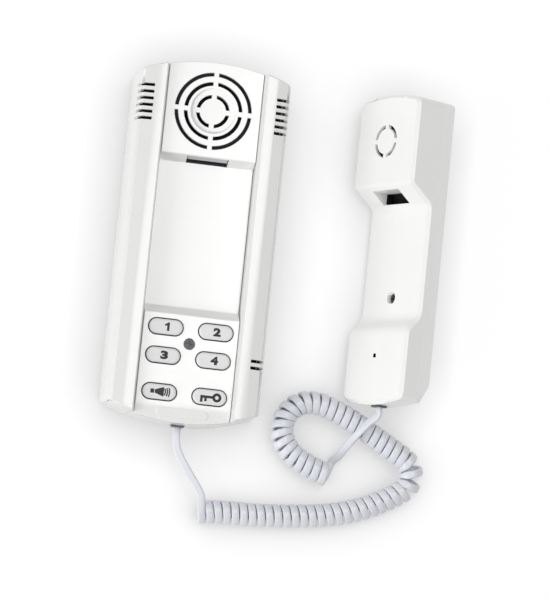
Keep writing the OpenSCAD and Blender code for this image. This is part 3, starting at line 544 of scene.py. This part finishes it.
# the inner ridge of each flank, its outer step, then the rims of the curved ends
rounded(bm, 0.5, 3, lambda at, way, low, high: abs(way.y) > 0.99 and at.z > 37.9 and abs(at.x) < 32)
rounded(bm, 0.25, 2, lambda at, way, low, high: abs(way.y) > 0.99 and 34.8 < at.z < 36.9 and abs(at.x) > 44
        and low.z > 0.05 and low.dot(high) < 0.95)
rounded(bm, 0.9, 4, lambda at, way, low, high: abs(at.y) > 100 and abs(low.z) < 0.05 and high.z > 0.2
        and at.z > 29)
case = moulding("flanked_case", bm)
# the same glossy ABS, a shade greyer: painted shade that darkens the flanks beside the fascia
case.data.materials.append(moulded("case_abs_painted_shade", "#EBEBE9", "#E8E8E6", 0.2, 0.9, 0.004))
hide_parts("base_case")
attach(case, "station")

# Handset. Two white ABS shells closed by one deep screw. The front edges are
# chamfered, and the shoulders of the ear and mouth blocks run out softly.
handset_frame = (Matrix.Translation((handset_x, 0.009, handset_z))
                 @ Matrix.Rotation(-lean, 4, "Y")).inverted()
# glossy ABS in a clearer white than the station's: painted light that brightens the handset's faces
handset_lit_abs = moulded("handset_abs_painted_light", "#FAFAF9", "#F7F7F6", 0.22, 0.9, 0.004)
bm = merged_copy("handset_front_shell")
rounded(bm, 2.2, 1, lambda at, way, low, high: high.z > 0.3 and abs(low.z) < 0.05 and at.z > 4
        and (abs(at.x) > 28.4 or abs(at.y) > 90), handset_frame)
rounded(bm, 0.4, 2, lambda at, way, low, high: high.z > 0.3 and low.z > -0.05 and 0.3 < low.dot(high) < 0.9
        and abs(way.x) < 0.99 and at.z > 1 and (abs(at.x) > 26 or abs(at.y) > 85), handset_frame)
front = moulding("handset_front", bm)
front.data.materials.append(handset_lit_abs)
# the rubber boot of the microphone lines its square hole
mic_y = -0.0665
mic_half = 0.0014
front.data.materials.append(black_moulding_and_shade)
for face in front.data.polygons:
    at = handset_frame @ face.center
    face.material_index = abs(at.x) < mic_half and abs(at.y - mic_y) < mic_half
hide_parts("handset_front_shell")
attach(front, "handset")
bm = merged_copy("handset_rear_shell")
rounded(bm, 1.4, 4, lambda at, way, low, high: at.z < -2 and low.dot(high) < 0.95 and high.z < 0.3
        and low.z < -0.1 and (abs(at.x) > 18 or abs(at.y) > 80 or at.z < -17.9), handset_frame)
rear = moulding("handset_rear", bm)
rear.data.materials.append(handset_lit_abs)
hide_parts("handset_rear_shell")
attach(rear, "handset")

# Hook pocket. A moulded box behind the opening in the ear block's shoulder; its
# walls match the shell, and its floor and the foot of its walls are painted black as shade.
pocket_shade_line = 0.0055
bm = merged_copy("hook_pocket")
handset_place = handset_frame.inverted()
bmesh.ops.bisect_plane(bm, geom=list(bm.verts) + list(bm.edges) + list(bm.faces), dist=1e-7,
                       plane_co=handset_place @ Vector((0, 0, pocket_shade_line)),
                       plane_no=handset_place.to_3x3() @ Vector((0, 0, 1)))
pocket = piece("hook_pocket_box", bm)
pocket.data.materials.append(handset_lit_abs)
pocket.data.materials.append(black_moulding_and_shade)
# the faces below that height take the black: painted shade
for face in pocket.data.polygons:
    face.material_index = (handset_frame @ face.center).z < pocket_shade_line
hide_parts("hook_pocket")
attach(pocket, "handset")

# Floor and light. A white table with a broad softbox low at the lower left, a
# small one overhead and even light from all round; it reads as white.
bm = bmesh.new()
bmesh.ops.create_grid(bm, x_segments=1, y_segments=1, size=4)
bmesh.ops.translate(bm, verts=bm.verts, vec=(0, 0, -0.0003))
floor = piece("table", bm)
table_white = bpy.data.materials.new("table_white")
table_white.use_nodes = True
tree = table_white.node_tree
tree.nodes.clear()
ray = add(tree, "ShaderNodeLightPath")
seen = add(tree, "ShaderNodeMath", [(0, ray.outputs["Is Camera Ray"]), (1, ray.outputs["Is Glossy Ray"])],
           operation="MAXIMUM")
seen = add(tree, "ShaderNodeMath", [(0, seen.outputs["Value"]), (1, ray.outputs["Is Transmission Ray"])],
           operation="MAXIMUM")
share = add(tree, "ShaderNodeMath", [(0, seen.outputs["Value"])], operation="MULTIPLY")
share.inputs[1].default_value = 0.86
# painted shade: the floor's glow dims round things, where their shade falls, about 25 mm wide
painted_shade_ao = add(tree, "ShaderNodeAmbientOcclusion", Distance=0.035, samples=24)
shade_fade = add(tree, "ShaderNodeMapRange", [("Value", painted_shade_ao.outputs["AO"])])
for key, value in (("From Min", 0.45), ("From Max", 0.97), ("To Min", 0.7), ("To Max", 1.05)):
    shade_fade.inputs[key].default_value = value
paper = add(tree, "ShaderNodeBsdfDiffuse", Color=linear("#F3F3F3"))
glow = add(tree, "ShaderNodeEmission", [("Strength", shade_fade.outputs["Result"])], Color=linear("#FFFFFF"))
both = add(tree, "ShaderNodeMixShader",
           [(0, share.outputs["Value"]), (1, paper.outputs[0]), (2, glow.outputs[0])])
add(tree, "ShaderNodeOutputMaterial", [("Surface", both.outputs[0])])
floor.data.materials.append(table_white)

# each softbox: its place, its width and length and its power; the flat glossy
# faces mirror the one overhead
for name, place, across, along, power in (("side_softbox", (-1.45, -0.75, 0.8), 1.7, 1.4, 20),
                                          ("top_softbox", (0.22, 0.26, 1.6), 0.42, 0.8, 7.2)):
    lamp_data = bpy.data.lights.new(name, "AREA")
    lamp_data.shape = "RECTANGLE"
    lamp_data.size = across
    lamp_data.size_y = along
    lamp_data.energy = power
    lamp = bpy.data.objects.new(name, lamp_data)
    lamp.location = place
    lamp.rotation_euler = (Vector((0.05, -0.02, 0.02)) - lamp.location).to_track_quat("-Z", "Y").to_euler()
    bpy.context.scene.collection.objects.link(lamp)
world = bpy.data.worlds.new("studio")
world.use_nodes = True
world.node_tree.nodes["Background"].inputs["Color"].default_value = linear("#FFFFFF")
world.node_tree.nodes["Background"].inputs["Strength"].default_value = 0.43
bpy.context.scene.world = world
bpy.context.scene.view_settings.view_transform = "Standard"
